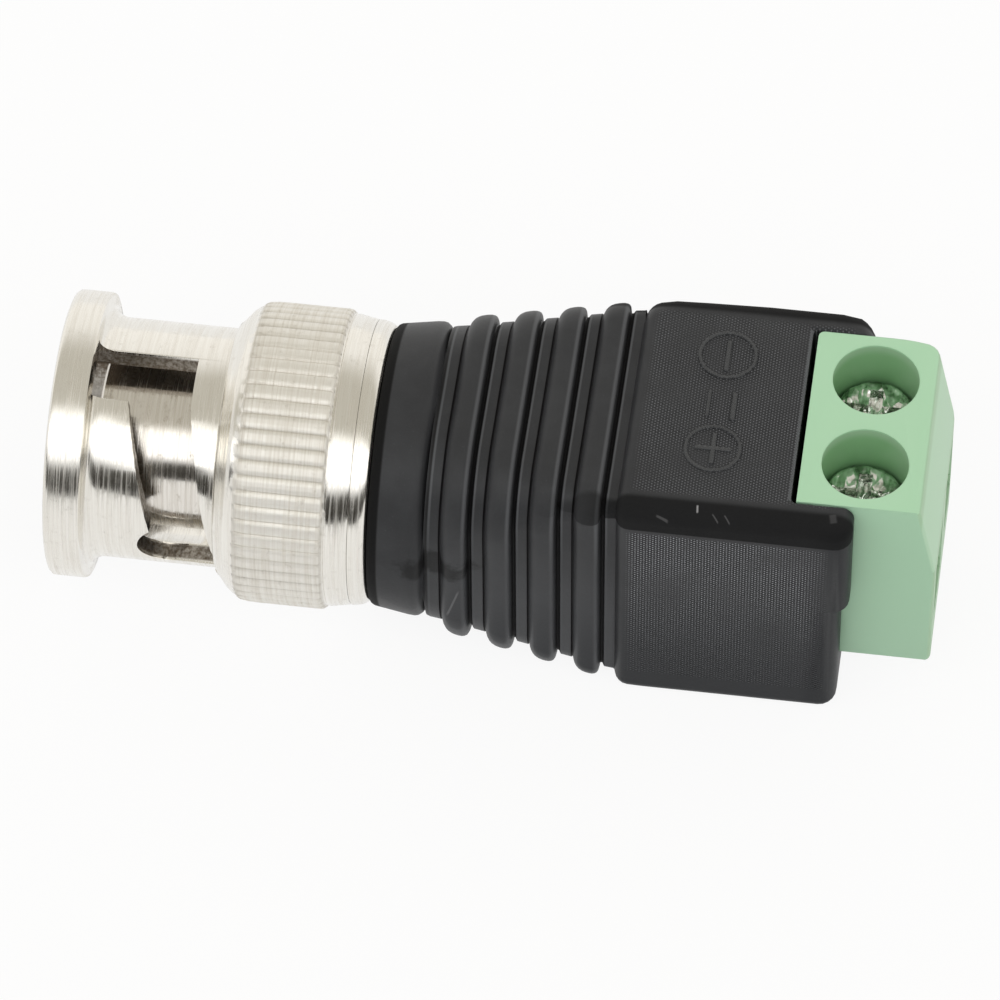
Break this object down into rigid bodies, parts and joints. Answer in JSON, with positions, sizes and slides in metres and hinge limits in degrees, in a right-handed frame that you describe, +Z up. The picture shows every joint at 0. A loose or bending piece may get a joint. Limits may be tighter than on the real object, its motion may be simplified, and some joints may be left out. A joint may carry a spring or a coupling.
{
  "type": "bnc terminal block adapter",
  "caption": "Bayonet coaxial plug joined by a ribbed moulded body to a screw terminal block for bare wires.",
  "frame": {"origin": "centre of the coupling nut's mouth, on the connector axis", "axes": "+X along the connector axis from the mouth towards the terminals; +Z up, the way the screw heads face"},
  "size_m": [0.0427, 0.0146, 0.0146],
  "materials": {
    "nickel_satin": "satin turned nickel plate",
    "nickel_dark": "nickel plate",
    "pin_brass": "gold flash on brass",
    "white_insulator": "smooth white",
    "seal_rubber": "soft black",
    "spring_steel": "bare spring steel",
    "black_moulding": "fine textured black",
    "green_housing": "smooth light green",
    "screw_steel": "zinc plated",
    "cage_plate": "nickel plate",
    "bar_tin": "tin plated",
    "lead_red": "wire insulation",
    "lead_black": "wire insulation"
  },
  "bodies": {
    "core": {"plug_body": "nickel_dark", "outer_contact": "nickel_dark", "centre_pin": "pin_brass", "dielectric": "white_insulator", "gasket": "seal_rubber", "wave_washer": "spring_steel", "rear_collar": "nickel_satin", "moulded_body": "black_moulding", "terminal_housing": "green_housing", "contact_bar_minus": "bar_tin", "contact_bar_plus": "bar_tin", "live_lead": "lead_red", "ground_lead": "lead_black"},
    "washer": {"thrust_washer": "spring_steel"},
    "nut": {"coupling_nut": "nickel_satin"},
    "screw_minus": {"clamp_screw_minus": "screw_steel"},
    "screw_plus": {"clamp_screw_plus": "screw_steel"},
    "cage_minus": {"clamp_cage_minus": "cage_plate"},
    "cage_plus": {"clamp_cage_plus": "cage_plate"}
  },
  "joints": [
    {"name": "nut_slide", "type": "slide", "parent": "core", "child": "washer", "axis": [-1, 0, 0], "range_m": [0, 0.0009], "stiffness_N_per_m": 1500, "deforming": ["wave_washer"]},
    {"name": "nut_turn", "type": "hinge", "parent": "washer", "child": "nut", "pos_m": [0.0073, 0, 0], "axis": [1, 0, 0], "continuous": true},
    {"name": "screw_minus_turn", "type": "hinge", "parent": "core", "child": "screw_minus", "pos_m": [0.03897, 0.00254, 0.0041], "axis": [0, 0, -1], "range_deg": [0, 1260.5]},
    {"name": "screw_plus_turn", "type": "hinge", "parent": "core", "child": "screw_plus", "pos_m": [0.03897, -0.00254, 0.0041], "axis": [0, 0, -1], "range_deg": [0, 1260.5]},
    {"name": "cage_minus_rise", "type": "slide", "parent": "core", "child": "cage_minus", "axis": [0, 0, 1], "range_m": [0, 0.00175]},
    {"name": "cage_plus_rise", "type": "slide", "parent": "core", "child": "cage_plus", "axis": [0, 0, 1], "range_m": [0, 0.00175]}
  ],
  "couplings": [
    {"joint": "screw_minus_turn", "follows": "cage_minus_rise", "rad_per_m": 12566},
    {"joint": "screw_plus_turn", "follows": "cage_plus_rise", "rad_per_m": 12566}
  ]
}
